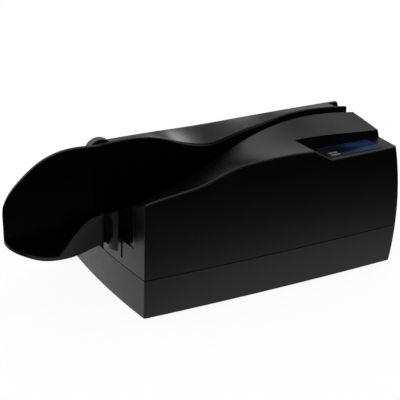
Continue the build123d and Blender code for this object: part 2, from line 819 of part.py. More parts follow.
def pinch_arm(x):
    """Two plates joined by a tube at the pivot."""
    tip, pivot = pinch_axle_place(x), pinch_pivot_place(x)
    low, high = pinch_plates()
    ends = [(pivot, arm_pivot_radius), (tip, arm_tip_radius)]
    plan = make_hull([(Pos(*place) * Circle(radius)).edge() for place, radius in ends])
    arm = Pos(0, 0, low) * extrude(plan, amount=arm_thickness)
    arm += Pos(0, 0, high) * extrude(plan, amount=arm_thickness)
    arm += rod(*pivot, (low, high + arm_thickness), arm_tube_radius)
    arm -= rod(*pivot, through, pinch_pin_radius + running_clearance)
    return arm - rod(*tip, through, axle_radius)


def pinch_axle(x):
    """Axle through both plates of the arm."""
    low, high = pinch_plates()
    return rod(*pinch_axle_place(x), (low, high + arm_thickness), axle_radius)


def pinch_roller(x):
    """Free roller on the arm's axle."""
    place = pinch_axle_place(x)
    roller = rod(*place, (pinch_foot, pinch_foot + pinch_length), pinch_radius)
    return roller - rod(*place, through, axle_radius + running_clearance)


def coil(radius, turns, length):
    """Spring of square wire around the Z axis; its length is that of the wire's middle line."""
    path = Helix(pitch=length / turns, height=length, radius=radius)
    section = Plane(origin=path @ 0, z_dir=path % 0) * Rectangle(spring_wire, spring_wire)
    return sweep(section, path=path)


def pinch_coil_span():
    """Heights of the ends of the coil's middle line, just clear of the arm."""
    foot = pinch_plates()[1] + arm_thickness + free_clearance + spring_wire / 2
    return foot, foot + pinch_coil_length


def pinch_pin(x):
    """Pivot pin standing in the deck, with a head over the spring."""
    place = pinch_pivot_place(x)
    top = pinch_coil_span()[1] + spring_wire
    head = rod(*place, (top, top + pin_head_height), pin_head_radius)
    return rod(*place, (deck_underside, top), pinch_pin_radius) + head


def pinch_spring(x):
    """Coil around the pivot pin, above the arm."""
    spring = coil(pinch_coil_radius, pinch_coil_turns, pinch_coil_length)
    return Pos(*pinch_pivot_place(x), pinch_coil_span()[0]) * spring


# ---------------------------------------------------------------- magnetic head and line sensor
def magnetic_head():
    """Read head with a rounded nose that leans into the track."""
    height = (head_foot, head_foot + head_height)
    head = block(around(head_x, head_width), (head_back, track_y + head_lean), height)
    return fillet(head.edges().filter_by(Axis.Z).group_by(Axis.Y)[-1], head_nose_radius)


def guide_rods():
    """Sides and height of the two rods that guide the head's carrier."""
    z = head_foot + head_height / 2
    return [(x, z) for x in around(head_x, rod_spacing)]


def head_carrier():
    """Block behind the head that slides on two rods."""
    carrier = block(around(head_x, carrier_width), (head_back - carrier_depth, head_back),
                    grown((head_foot, head_foot + head_height), carrier_margin))
    for x, z in guide_rods():
        carrier -= rod_y(x, z, (through[0], through[1]), axle_radius + running_clearance)
    return carrier


def head_bracket():
    """Upright behind the carrier with its two guide rods, standing on the deck."""
    face = track_y - bracket_setback
    width = around(head_x, carrier_width)
    bracket = block(width, (face - bracket_depth, face), (track_floor, head_foot + head_height))
    sole = (track_floor, track_floor + bracket_foot_height)
    bracket += block(width, (face - bracket_depth - bracket_foot, face), sole)
    for x, z in guide_rods():
        bracket += rod_y(x, z, (face - bracket_depth / 2, head_back + socket_gap), axle_radius)
    return bracket


def head_springs():
    """Two light coils on the rods between the bracket and the carrier."""
    start = track_y - bracket_setback + spring_wire
    end = head_back - carrier_depth - head_travel - spring_wire
    spring = Rot(-90, 0, 0) * coil(head_coil_radius, head_coil_turns, end - start)
    return fuse([Pos(x, start, z) * spring for x, z in guide_rods()])


def line_sensor():
    """Upright sensor bar whose face looks into the track."""
    face = track_y - glass_thickness
    top = sensor_foot + sensor_length
    bar = block(around(sensor_x, sensor_width), (sensor_back, face), (sensor_foot, top))
    width, depth = sensor_slot
    height = grown((sensor_foot, top), -sensor_margin)
    return bar - block(around(sensor_x, width), (face - depth, face + over), height)


def sensor_glass():
    """Flat glass in front of the bar, flush with the track's wall."""
    return block(around(sensor_x, sensor_width - 2 * glass_margin), (track_y - glass_thickness, track_y),
                 grown((sensor_foot, sensor_foot + sensor_length), -glass_margin))


def sensor_bracket():
    """Angle that holds the sensor bar on the deck."""
    width = around(sensor_x, sensor_bracket_width)
    upright = block(width, (sensor_back - sensor_bracket_sheet, sensor_back),
                    (track_floor, track_floor + sensor_bracket_height))
    sole = block(width, (sensor_back - sensor_bracket_foot, sensor_back),
                 (track_floor, track_floor + sensor_bracket_sole))
    return upright + sole


def document_sensors():
    """Two small light gates on the deck, one before the head and one after the exit rollers."""
    width, depth, height = gate_size
    y_range = (wall_back - gate_gap - depth, wall_back - gate_gap)
    places = (head_x + gate_leads[0], exit_x + gate_leads[1])
    return fuse([block(around(x, width), y_range, (track_floor, track_floor + height)) for x in places])


# ---------------------------------------------------------------- boards, panel and small pieces
def main_board():
    """Board on the tray's stand-offs."""
    return block(board_x, board_y, (board_height, board_top))


def board_components():
    """Processor, memory, driver chip and a capacitor, placed by shares of the board."""
    (x0, x1), (y0, y1) = board_x, board_y
    made = []
    for along, across, side in chips:
        x, y = x0 + along * (x1 - x0), y0 + across * (y1 - y0)
        made.append(block(around(x, side), around(y, side), (board_top, board_top + chip_height)))
    along, across = capacitor_place
    x, y = x0 + along * (x1 - x0), y0 + across * (y1 - y0)
    return fuse(made + [rod(x, y, (board_top, board_top + capacitor_height), capacitor_radius)])


def socket_mouth():
    """Y of the sockets' open ends, just inside the back wall's face."""
    return body_depth - socket_setback


def usb_socket():
    """Square socket with its tongue."""
    mouth, middle = socket_mouth(), (usb_x[0] + usb_x[1]) / 2
    height = (board_top, board_top + usb_height)
    shell = block(usb_x, (mouth - socket_depth, mouth), height)
    shell -= block(grown(usb_x, -usb_shell), (mouth - socket_bore, mouth + over), grown(height, -usb_shell))
    tongue = block(around(middle, 2 * usb_tongue), (mouth - socket_bore - bite, mouth - usb_shell),
                   around(board_top + usb_height / 2, usb_tongue))
    return shell + tongue


def power_jack():
    """Round-bored jack with its middle pin."""
    mouth, middle = socket_mouth(), (jack_x[0] + jack_x[1]) / 2
    z = board_top + jack_height / 2
    body = block(jack_x, (mouth - socket_depth, mouth), (board_top, board_top + jack_height))
    body -= rod_y(middle, z, (mouth - socket_bore, mouth + over), jack_bore_radius)
    return body + rod_y(middle, z, (mouth - socket_bore - bite, mouth - usb_shell), jack_pin_radius)


def light_pipes(gap=0.0):
    """Two light pipes from the small board to the panel's surface."""
    x_range = grown((indicator_x, indicator_x + indicator_length), gap)
    z_range = grown((panel_top - pipe_length, panel_top), gap)
    return [block(x_range, grown((y, y + indicator_width), gap), z_range) for y in indicator_ys]


def status_panel():
    """Glossy plate let into the recess's shelf."""
    panel = block(panel_x, panel_y, (panel_floor, panel_top))
    for pipe in light_pipes(running_clearance):
        panel -= pipe
    return panel


def indicator_windows():
    """The two light pipes."""
    return fuse(light_pipes())


def status_board():
    """Small board with its lamps, hung under the shelf on two posts."""
    board = block((status_board_x, status_board_x + status_board_length),
                  (status_board_y, status_board_y + status_board_depth),
                  (status_board_top - board_thickness, status_board_top))
    x = indicator_x + (indicator_length - lamp_length) / 2
    for y in indicator_ys:
        lamp = (status_board_top, status_board_top + lamp_height)
        board += block((x, x + lamp_length), (y, y + indicator_width), lamp)
    return board


def rubber_feet():
    """Four discs let into the tray's underside."""
    return fuse([rod(*place, (0, base_underside + foot_recess), foot_radius) for place in foot_places])


def base_screws():
    """Screws from below through the tray's bosses into the deck, the front pair on into the housing."""
    seat = base_underside + screw_head_height
    screws = []
    for places, top in ((front_bosses, track_floor + screw_bite), (rear_bosses, track_floor - socket_gap)):
        for place in places:
            head = rod(*place, (base_underside + screw_head_recess, seat), screw_head_radius)
            screws.append(head + rod(*place, (seat, top), screw_radius))
    return fuse(screws)


# ---------------------------------------------------------------- all pieces
def pieces():
    """Every sub-part under its own name."""
    made = {
        "lower_housing": lower_housing(), "front_housing": front_housing(), "track_wall": track_wall(),
        "rear_cover": rear_cover(), "hinge_pins": hinge_pins(), "document_guide": document_guide(),
        "track_deck": track_deck(), "shaft_bushes": shaft_bushes(), "drive_motor": drive_motor(),
        "motor_shaft": motor_shaft(), "drive_belt": drive_belt(), "magnetic_head": magnetic_head(),
        "motor_pulley": pulley(motor_x, motor_y, motor_pulley_radius, motor_shaft_radius),
        "head_carrier": head_carrier(), "head_bracket": head_bracket(), "head_springs": head_springs(),
        "line_sensor": line_sensor(), "sensor_glass": sensor_glass(), "sensor_bracket": sensor_bracket(),
        "document_sensors": document_sensors(), "main_board": main_board(), "usb_socket": usb_socket(),
        "board_components": board_components(), "power_jack": power_jack(), "status_panel": status_panel(),
        "indicator_windows": indicator_windows(), "status_board": status_board(),
        "rubber_feet": rubber_feet(), "base_screws": base_screws(),
    }
    for name, station in zip(("entry", "platen", "exit"), roller_stations()):
        made[f"{name}_shaft"], made[f"{name}_roller"], made[f"{name}_pulley"] = roller_set(*station)
    for name, x in (("entry", entry_x), ("exit", exit_x)):
        made[f"{name}_pinch_arm"] = pinch_arm(x)
        made[f"{name}_pinch_axle"] = pinch_axle(x)
        made[f"{name}_pinch_roller"] = pinch_roller(x)
        made[f"{name}_pinch_pin"] = pinch_pin(x)
        made[f"{name}_pinch_spring"] = pinch_spring(x)
    return made


def footprint_middle(shapes):
    """Middle of the box around every piece, in plan."""
    boxes = [shape.bounding_box() for shape in shapes]
    x = (min(box.min.X for box in boxes) + max(box.max.X for box in boxes)) / 2
    y = (min(box.min.Y for box in boxes) + max(box.max.Y for box in boxes)) / 2
    return x, y


os.makedirs("parts", exist_ok=True)
made = pieces()
middle_x, middle_y = footprint_middle(made.values())
print("middle of the footprint:", middle_x, middle_y)
for name, shape in made.items():
    export_step(Pos(-middle_x, -middle_y, 0) * shape, f"parts/{name}.step")
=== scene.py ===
# %% [markdown]
# # A desk-top cheque scanner
#
# This file dresses a finished construction model of a cheque scanner. The solids arrive from the
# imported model, already at their real size and place, and every cell below adds one thing to them:
# first the room and the camera, then the finishes, then the small pieces that only the eye needs.
# The object is almost wholly black plastic, so it is drawn by its reflections. That is why the room
# comes before the materials: without something pale to mirror, a black shell shows no form at all.

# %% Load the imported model
import json
import math

import bmesh
import bpy
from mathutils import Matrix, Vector


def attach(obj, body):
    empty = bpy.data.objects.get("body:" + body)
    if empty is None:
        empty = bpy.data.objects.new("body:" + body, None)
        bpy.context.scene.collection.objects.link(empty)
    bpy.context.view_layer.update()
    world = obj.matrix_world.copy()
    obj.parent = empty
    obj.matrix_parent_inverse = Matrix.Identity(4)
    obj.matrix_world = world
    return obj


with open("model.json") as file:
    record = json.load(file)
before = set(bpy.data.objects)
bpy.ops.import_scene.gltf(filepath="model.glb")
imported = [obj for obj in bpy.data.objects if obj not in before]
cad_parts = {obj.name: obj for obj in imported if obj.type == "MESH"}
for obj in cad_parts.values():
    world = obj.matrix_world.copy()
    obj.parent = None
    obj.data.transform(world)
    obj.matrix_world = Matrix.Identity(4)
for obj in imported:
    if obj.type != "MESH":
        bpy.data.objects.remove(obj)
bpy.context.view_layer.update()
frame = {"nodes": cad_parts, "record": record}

nodes = frame["nodes"]

# %% [markdown]
# ## The room
#
# A glossy black shell has hardly any colour of its own. What the eye reads on it is the room: the
# end faces and the foot mirror a pale table, the top mirrors a soft lamp high at the right, and
# the upper front mirrors the dark side of the room. So the room is built first, and it has two parts:
# a pale table that lies in a pool of light around the scanner, and a sky with one soft lamp in it.
#
# The table is drawn in two ways. Seen directly it is evenly white and only keeps the soft
# shadow. Mirrored in plastic, metal or glass it is the pool of light, white at the object's foot
# and fading outwards, as a table under a lamp does.

# %% Small helpers for node trees
def new_material(name):
    """An empty node material with its output node."""
    material = bpy.data.materials.new(name)
    material.use_nodes = True
    tree = material.node_tree
    tree.nodes.clear()
    output = tree.nodes.new("ShaderNodeOutputMaterial")
    return material, tree, output


def add_node(tree, kind, **settings):
    """A node with some of its properties set."""
    node = tree.nodes.new(kind)
    for key, value in settings.items():
        setattr(node, key, value)
    return node


def join(tree, source, target):
    """Links two sockets."""
    tree.links.new(source, target)


def math_node(tree, operation, first, second, clamp=False):
    """One sum of two sockets or numbers."""
    node = add_node(tree, "ShaderNodeMath", operation=operation, use_clamp=clamp)
    for socket, value in zip(node.inputs, (first, second)):
        if isinstance(value, (int, float)):
            socket.default_value = value
        else:
            join(tree, value, socket)
    return node.outputs[0]


def rescale(tree, value, start, end, low=0.0, high=1.0, curve="LINEAR"):
    """Carries a value from one range to another and clamps it there."""
    node = add_node(tree, "ShaderNodeMapRange", interpolation_type=curve)
    join(tree, value, node.inputs["Value"])
    node.inputs["From Min"].default_value = start
    node.inputs["From Max"].default_value = end
    node.inputs["To Min"].default_value = low
    node.inputs["To Max"].default_value = high
    return node.outputs[0]


def blend(tree, mask, first, second):
    """Two colours, each a socket or a value, blended by a mask."""
    node = add_node(tree, "ShaderNodeMix", data_type="RGBA")
    join(tree, mask, node.inputs["Factor"])
    for label, colour in (("A", first), ("B", second)):
        if isinstance(colour, tuple):
            node.inputs[label].default_value = (*colour[:3], 1)
        else:
            join(tree, colour, node.inputs[label])
    return node.outputs["Result"]


def coordinates(tree, space="Object"):
    """X, Y and Z of a texture space."""
    place = add_node(tree, "ShaderNodeTexCoord")
    split = add_node(tree, "ShaderNodeSeparateXYZ")
    join(tree, place.outputs[space], split.inputs[0])
    return split.outputs["X"], split.outputs["Y"], split.outputs["Z"]


def grey_ramp(tree, source, start, end, stops):
    """Grey levels along a value: stops are (value, level)."""
    node = add_node(tree, "ShaderNodeValToRGB")
    elements = node.color_ramp.elements
    while len(elements) < len(stops):
        elements.new(0.5)
    for element, (value, level) in zip(elements, stops):
        element.position = (value - start) / (end - start)
        element.color = (level, level, level, 1)
    join(tree, rescale(tree, source, start, end), node.inputs["Fac"])
    return node.outputs["Color"]


print("helpers for node trees are ready")

# %% The table
TABLE_SIZE = 12.0
TABLE_WHITE = (0.86, 0.86, 0.855, 1)
POOL_MIDDLE = (0.05, 0.03)
POOL_STRETCH = 1.5
SHADOW_SHARE = 0.08
POOL_LEVELS = [(0.0, 1.0), (0.100, 1.0), (0.110, 0.95), (0.125, 0.80), (0.153, 0.46), (0.200, 0.20),
               (0.235, 0.05), (0.280, 0.012), (0.40, 0.004)]


def pool_of_light(tree):
    """Brightness of the table in mirror images, by distance from the middle of the pool."""
    x, y, _ = coordinates(tree)
    along = math_node(tree, "SUBTRACT", x, POOL_MIDDLE[0])
    along = math_node(tree, "DIVIDE", along, POOL_STRETCH)
    across = math_node(tree, "SUBTRACT", y, POOL_MIDDLE[1])
    squares = math_node(tree, "ADD", math_node(tree, "POWER", along, 2), math_node(tree, "POWER", across, 2))
    distance = math_node(tree, "SQRT", squares, 0)
    return grey_ramp(tree, distance, POOL_LEVELS[0][0], POOL_LEVELS[-1][0], POOL_LEVELS)


def table_material():
    """Matt white table that shows evenly white to the camera and as a pool of light in mirrors."""
    material, tree, output = new_material("table")
    matt = add_node(tree, "ShaderNodeBsdfDiffuse")
    matt.inputs["Color"].default_value = TABLE_WHITE
    path = add_node(tree, "ShaderNodeLightPath")
    seen = path.outputs["Is Camera Ray"]
    mirrored = math_node(tree, "ADD", path.outputs["Is Glossy Ray"], path.outputs["Is Transmission Ray"])
    glow = add_node(tree, "ShaderNodeEmission")
    join(tree, blend(tree, seen, pool_of_light(tree), (1.0, 1.0, 1.0)), glow.inputs["Color"])
    share = math_node(tree, "ADD", math_node(tree, "MULTIPLY", seen, 1 - SHADOW_SHARE), mirrored, clamp=True)
    mix = add_node(tree, "ShaderNodeMixShader")
    join(tree, share, mix.inputs["Fac"])
    join(tree, matt.outputs[0], mix.inputs[1])
    join(tree, glow.outputs[0], mix.inputs[2])
    join(tree, mix.outputs[0], output.inputs["Surface"])
    return material


mesh = bpy.data.meshes.new("table")
table_form = bmesh.new()
bmesh.ops.create_grid(table_form, x_segments=1, y_segments=1, size=TABLE_SIZE / 2)
table_form.to_mesh(mesh)
table_form.free()
table = bpy.data.objects.new("table", mesh)
bpy.context.scene.collection.objects.link(table)
mesh.materials.append(table_material())
print("table:", TABLE_SIZE, "m wide")

# %% [markdown]
# ## The light
#
# The whole sky is one node tree. The angle between a sky direction and the lamp's direction sets the
# brightness of a large soft lamp with no edge; such a lamp leaves the long smooth highlight on
# the rear cover where the surface turns towards it. The open side of the room, to the left, is
# pale and lights the rest of the object; the side to the right is dark apart from the lamp.

# %% The sky
LAMP_DIRECTION = (0.70, 0.16, 0.695)
LAMP_LEVELS = [(-1.0, 0.02), (0.30, 0.22), (0.50, 0.28), (0.60, 0.46), (0.70, 0.44), (0.79, 0.27),
               (0.85, 0.30), (0.875, 0.80), (0.935, 1.0), (0.955, 2.4), (0.97, 4.6), (0.985, 5.2),
               (1.0, 5.0)]
LAMP_STRENGTH = 10.0
SIDE_LEVELS = [(-1.0, 0.95), (-0.1, 0.80), (0.30, 0.16), (0.42, 0.03), (1.0, 0.02)]


def build_sky():
    """World light: a soft lamp at the upper right and a pale left side."""
    world = bpy.data.worlds.new("studio")
    bpy.context.scene.world = world
    world.use_nodes = True
    tree = world.node_tree
    tree.nodes.clear()
    output = add_node(tree, "ShaderNodeOutputWorld")
    direction = add_node(tree, "ShaderNodeTexCoord")
    facing = add_node(tree, "ShaderNodeVectorMath", operation="DOT_PRODUCT")
    join(tree, direction.outputs["Generated"], facing.inputs[0])
    facing.inputs[1].default_value = LAMP_DIRECTION
    within_one = [(value, level / LAMP_STRENGTH) for value, level in LAMP_LEVELS]
    lamp = grey_ramp(tree, facing.outputs["Value"], -1.0, 1.0, within_one)
    split = add_node(tree, "ShaderNodeSeparateXYZ")
    join(tree, direction.outputs["Generated"], split.inputs[0])
    side = grey_ramp(tree, split.outputs["X"], -1.0, 1.0, SIDE_LEVELS)
    lamp_light = add_node(tree, "ShaderNodeBackground")
    join(tree, lamp, lamp_light.inputs["Color"])
    lamp_light.inputs["Strength"].default_value = LAMP_STRENGTH
    side_light = add_node(tree, "ShaderNodeBackground")
    join(tree, side, side_light.inputs["Color"])
    both = add_node(tree, "ShaderNodeAddShader")
    join(tree, lamp_light.outputs[0], both.inputs[0])
    join(tree, side_light.outputs[0], both.inputs[1])
    join(tree, both.outputs[0], output.inputs["Surface"])


build_sky()
bpy.context.scene.view_settings.view_transform = "Standard"
print("sky lamp towards", LAMP_DIRECTION)

# %% [markdown]
# ## The camera
#
# The scanner is seen from its front left corner, a little from above, with a long lens. The place
# is kept as one point and one direction in the model's own frame, so that the view follows the
# model and not the other way round.

# %% Camera
CAMERA_PLACE = Vector((-0.3554907, -0.6683, 0.3549))
CAMERA_DIRECTION = Vector((0.4368, 0.8180, -0.3743))
FOCAL_LENGTH = 108.0
SENSOR_WIDTH = 36.0

camera_data = bpy.data.cameras.new("camera")
camera_data.lens = FOCAL_LENGTH
camera_data.sensor_width = SENSOR_WIDTH
camera = bpy.data.objects.new("camera", camera_data)
bpy.context.scene.collection.objects.link(camera)
camera.location = CAMERA_PLACE
camera.rotation_euler = CAMERA_DIRECTION.to_track_quat("-Z", "Y").to_euler()
bpy.context.scene.camera = camera
print("camera at", [round(v, 3) for v in CAMERA_PLACE], "lens", FOCAL_LENGTH, "mm")

# %% [markdown]
# ## Effects that several finishes share
#
# Moulded plastic is never one even colour. The mould leaves a fine grain, hands leave soft smears
# that change the gloss more than the colour, and a little dust settles on whatever faces up. Each of
# these is a node group with its own inputs, built once, so that a finish can ask for as much of it
# as its piece would carry.

# %% Node groups
GRAIN_SIZE = 2600.0
FINE_GRAIN_SIZE = 5200.0
FINE_GRAIN_SHARE = 0.5
PATCH_SIZE = 26.0
WIPE_SIZE = 60.0
WIPE_STRETCH = (0.25, 1, 1.6)
SMEAR_START = 0.16
SMEAR_FULL = 0.40
SPECK_SIZE = 900.0
SPECK_START = 0.55
SPECK_FULL = 0.80
DUST_SLOPE = 0.35
RIM_FORWARD = -0.2
RIM_UPWARD = 0.15


def new_group(name, inputs, outputs):
    """A node group with number inputs and outputs; returns the tree and its two end nodes."""
    group = bpy.data.node_groups.new(name, "ShaderNodeTree")
    for label, value in inputs:
        socket = group.interface.new_socket(label, in_out="INPUT", socket_type="NodeSocketFloat")
        socket.default_value = value
    for label in outputs:
        group.interface.new_socket(label, in_out="OUTPUT", socket_type="NodeSocketFloat")
    return group, add_node(group, "NodeGroupInput"), add_node(group, "NodeGroupOutput")


def noise(tree, scale, detail=2.0, stretch=(1, 1, 1), roughness=0.5):
    """Noise in object coordinates; scale may be a socket."""
    place = add_node(tree, "ShaderNodeTexCoord")
    mapping = add_node(tree, "ShaderNodeMapping")
    mapping.inputs["Scale"].default_value = stretch
    join(tree, place.outputs["Object"], mapping.inputs["Vector"])
    texture = add_node(tree, "ShaderNodeTexNoise")
    join(tree, mapping.outputs[0], texture.inputs["Vector"])
    if isinstance(scale, (int, float)):
        texture.inputs["Scale"].default_value = scale
    else:
        join(tree, scale, texture.inputs["Scale"])
    texture.inputs["Detail"].default_value = detail
    texture.inputs["Roughness"].default_value = roughness
    return texture.outputs["Fac"]


def facing_of(tree):
    """X, Y and Z of the direction that a surface faces."""
    geometry = add_node(tree, "ShaderNodeNewGeometry")
    split = add_node(tree, "ShaderNodeSeparateXYZ")
    join(tree, geometry.outputs["Normal"], split.inputs[0])
    return split.outputs["X"], split.outputs["Y"], split.outputs["Z"]


def build_grain():
    """Spark-eroded grain: two sizes of fine bumps."""
    group, source, sink = new_group("mould_grain", [("Size", GRAIN_SIZE), ("Depth", 1.0)], ["Height"])
    coarse = noise(group, source.outputs["Size"], 1.0)
    fine = noise(group, FINE_GRAIN_SIZE, 2.0)
    both = math_node(group, "ADD", coarse, math_node(group, "MULTIPLY", fine, FINE_GRAIN_SHARE))
    join(group, math_node(group, "MULTIPLY", both, source.outputs["Depth"]), sink.inputs["Height"])
    return group


def build_smears():
    """Soft patches and long faint wipes, as a mask from 0 to 1."""
    group, source, sink = new_group("handling_smears", [("Amount", 1.0)], ["Mask"])
    patches = noise(group, PATCH_SIZE, 3.0, roughness=0.6)
    wipes = noise(group, WIPE_SIZE, 2.0, stretch=WIPE_STRETCH)
    strong = rescale(group, math_node(group, "MULTIPLY", patches, wipes), SMEAR_START, SMEAR_FULL)
    mask = math_node(group, "MULTIPLY", strong, source.outputs["Amount"], clamp=True)
    join(group, mask, sink.inputs["Mask"])
    return group


def build_dust():
    """Specks that settle on what faces up."""
    group, source, sink = new_group("settled_dust", [("Amount", 1.0)], ["Mask"])
    _, _, facing_up = facing_of(group)
    upward = rescale(group, facing_up, DUST_SLOPE, 1.0)
    specks = rescale(group, noise(group, SPECK_SIZE, 3.0, roughness=0.7), SPECK_START, SPECK_FULL)
    settled = math_node(group, "MULTIPLY", upward, specks)
    mask = math_node(group, "MULTIPLY", settled, source.outputs["Amount"], clamp=True)
    join(group, mask, sink.inputs["Mask"])
    return group


def build_rim():
    """Rounded upper edges that face both forward and up, where hands and documents rub."""
    group, _, sink = new_group("rubbed_rim", [], ["Mask"])
    _, facing_back, facing_up = facing_of(group)
    forward = math_node(group, "LESS_THAN", facing_back, RIM_FORWARD)
    upward = math_node(group, "GREATER_THAN", facing_up, RIM_UPWARD)
    join(group, math_node(group, "MULTIPLY", forward, upward), sink.inputs["Mask"])
    return group


def use_group(tree, name, **values):
    """Places a shared effect in a material with this material's own values."""
    node = add_node(tree, "ShaderNodeGroup", node_tree=GROUPS[name])
    for label, value in values.items():
        node.inputs[label].default_value = value
    return node


GROUPS = {"grain": build_grain(), "smears": build_smears(), "dust": build_dust(), "rim": build_rim()}
print("node groups:", [group.name for group in GROUPS.values()])

# %% [markdown]
# ## Black plastic
#
# Nearly everything outside is moulded black plastic, in three states: the glossy upper shells, the
# satin tray under them and the dull parts inside. One function builds them all. The base colour is
# nearly black and almost even, because on the real object the eye reads gloss, not pigment. The
# smears therefore change the roughness, and only the dust lifts the colour a little.

# %% Plastic finish
TONE_SIZE = 14.0
TONE_SWING = 0.12
SMEAR_DULLING = 0.12
DUST_DULLING = 0.3
DUST_COLOUR = (0.16, 0.155, 0.15)
GRAIN_HEIGHT = 0.00005


def scaled(colour, factor):
    """A colour made lighter or darker."""
    return tuple(channel * factor for channel in colour)


def principled(name):
    """A material with one Principled shader."""
    material, tree, output = new_material(name)
    shader = add_node(tree, "ShaderNodeBsdfPrincipled")
    join(tree, shader.outputs[0], output.inputs["Surface"])
    return material, tree, shader


def smeared(tree, amount, clean, dull):
    """Roughness that goes from clean to dull where hands have been."""
    return rescale(tree, use_group(tree, "smears", Amount=amount).outputs["Mask"], 0.0, 1.0, clean, dull)


def plastic(name, colour, roughness, grain_depth=0.0, grain_size=GRAIN_SIZE, smears=0.5, dust=0.3,
            shine=0.5, worn_rim=0.0):
    """Moulded plastic with grain, smears and dust, and a rim that may be rubbed dull."""
    material, tree, shader = principled(name)
    dusty = use_group(tree, "dust", Amount=dust).outputs["Mask"]
    darker = scaled(colour, 1 - TONE_SWING)
    lighter = scaled(colour, 1 + TONE_SWING)
    tone = blend(tree, noise(tree, TONE_SIZE, 2.0), darker, lighter)
    join(tree, blend(tree, dusty, tone, DUST_COLOUR), shader.inputs["Base Color"])
    gloss = smeared(tree, smears, roughness, roughness + SMEAR_DULLING)
    dulled = math_node(tree, "MULTIPLY", dusty, DUST_DULLING)
    if worn_rim:
        rubbed = math_node(tree, "MULTIPLY", use_group(tree, "rim").outputs["Mask"], worn_rim)
        dulled = math_node(tree, "ADD", dulled, rubbed)
    join(tree, math_node(tree, "ADD", gloss, dulled), shader.inputs["Roughness"])
    shader.inputs["Specular IOR Level"].default_value = shine
    if grain_depth:
        rough_skin = use_group(tree, "grain", Size=grain_size, Depth=1.0)
        bump = add_node(tree, "ShaderNodeBump")
        bump.inputs["Strength"].default_value = grain_depth
        bump.inputs["Distance"].default_value = GRAIN_HEIGHT
        join(tree, rough_skin.outputs["Height"], bump.inputs["Height"])
        join(tree, bump.outputs["Normal"], shader.inputs["Normal"])
    return material


print("plastic: tone, smears, dust and grain")

# %% [markdown]
# ## Metal
#
# The shafts, pins, brackets and the motor's can are turned, drawn or pressed, and each way leaves fine
# lines. A noise stretched along Z stands for them. It goes into the colour a little and into the
# roughness more, because on bare metal a line is seen by how it spreads the light.

# %% Metal finish
LINE_SIZE = 900.0
LINE_STRETCH = (1, 1, 0.06)
METAL_SHADE = 0.85
METAL_GLEAM = 1.1


def metal(name, colour, roughness, brushed=0.0):
    """Plain or brushed metal; the brushing is a fine stretched noise in the roughness."""
    material, tree, shader = principled(name)
    shader.inputs["Metallic"].default_value = 1.0
    lines = noise(tree, LINE_SIZE, 2.0, stretch=LINE_STRETCH)
    tone = blend(tree, lines, scaled(colour, METAL_SHADE), scaled(colour, METAL_GLEAM))
    join(tree, tone, shader.inputs["Base Color"])
    join(tree, rescale(tree, lines, 0.0, 1.0, roughness, roughness + brushed), shader.inputs["Roughness"])
    return material


print("metal: lines", LINE_SIZE, "to the metre")

# %% [markdown]
# ## The guide's satin cheek and painted light
#
# The document guide is one moulding, polished and deep black on its faces towards the document.
# The outside of the low cheek is grained and satin, and its front faces are painted lighter: a
# painted reflection of the pale table in front. The upward faces of the wing's rim are painted paler,
# a painted highlight. A mask in the model's own coordinates tells them apart, with no seam in the piece.

# %% The document guide's satin cheek, painted reflection and painted highlight
CHEEK_BACK = 0.0035
WING_END = -0.068
WING_FRONT = 0.0042
RIM_FOOT = 0.0345
FACES_FRONT = -0.5
FACES_UP = 0.3
WING_SOFTNESS = 0.001
CHEEK_SOFTNESS = 0.0005
FACING_SOFTNESS = 0.1
POLISHED_BLACK = (0.0006, 0.0006, 0.0006)
# painted reflection: the cheek's front faces are made lighter where they mirror the pale table
CHEEK_PAINTED_REFLECTION = (0.024, 0.024, 0.024)
# painted highlight: the rim's upward faces are made paler where light catches them
RIM_PAINTED_HIGHLIGHT = (0.030, 0.030, 0.030)
GUIDE_HANDLING = 0.5
GUIDE_GLOSS = 0.22
GUIDE_SMEARED = 0.34
CHEEK_DULLING = 0.25
GUIDE_SHINE = 0.05


def below(tree, value, edge, softness):
    """1 where a value is below an edge, 0 above it, with a soft step between."""
    return rescale(tree, value, edge - softness, edge + softness, 1.0, 0.0, curve="SMOOTHSTEP")


def build_skins():
    """Masks of the satin cheek with its painted reflection, and of the rim's painted highlight."""
    group, _, sink = new_group("guide_satin_and_painted_light", [], ["Cheek", "Rim_painted_highlight"])
    x, y, z = coordinates(group)
    _, facing_back, facing_up = facing_of(group)
    on_wing = below(group, x, WING_END, WING_SOFTNESS)
    in_front = below(group, y, CHEEK_BACK, CHEEK_SOFTNESS)
    outside = below(group, facing_back, FACES_FRONT, FACING_SOFTNESS)
    cheek = math_node(group, "MULTIPLY", in_front, outside)
    join(group, math_node(group, "MULTIPLY", on_wing, cheek), sink.inputs["Cheek"])
    # the rim mask below picks the upward faces that take the painted highlight
    upward = math_node(group, "GREATER_THAN", facing_up, FACES_UP)
    above_floor = math_node(group, "GREATER_THAN", z, RIM_FOOT)
    behind = math_node(group, "GREATER_THAN", y, WING_FRONT)
    rim = math_node(group, "MULTIPLY", upward, math_node(group, "MULTIPLY", above_floor, behind))
    join(group, math_node(group, "MULTIPLY", on_wing, rim), sink.inputs["Rim_painted_highlight"])
    return group


GROUPS["skins"] = build_skins()


def guide_finish():
    """Polished black inside; satin cheek with a painted reflection; rim with a painted highlight."""
    material, tree, shader = principled("guide_black_with_painted_light")
    skins = use_group(tree, "skins")
    # the cheek's painted reflection and the rim's painted highlight go into the base colour
    tone = blend(tree, skins.outputs["Cheek"], POLISHED_BLACK, CHEEK_PAINTED_REFLECTION)
    join(tree, blend(tree, skins.outputs["Rim_painted_highlight"], tone, RIM_PAINTED_HIGHLIGHT), shader.inputs["Base Color"])
    shader.inputs["Specular IOR Level"].default_value = GUIDE_SHINE
    gloss = smeared(tree, GUIDE_HANDLING, GUIDE_GLOSS, GUIDE_SMEARED)
    satin = math_node(tree, "MULTIPLY", skins.outputs["Cheek"], CHEEK_DULLING)
    join(tree, math_node(tree, "ADD", gloss, satin), shader.inputs["Roughness"])
    return material


print("guide: cheek in front of y", CHEEK_BACK, "m, wing beyond x", WING_END, "m")
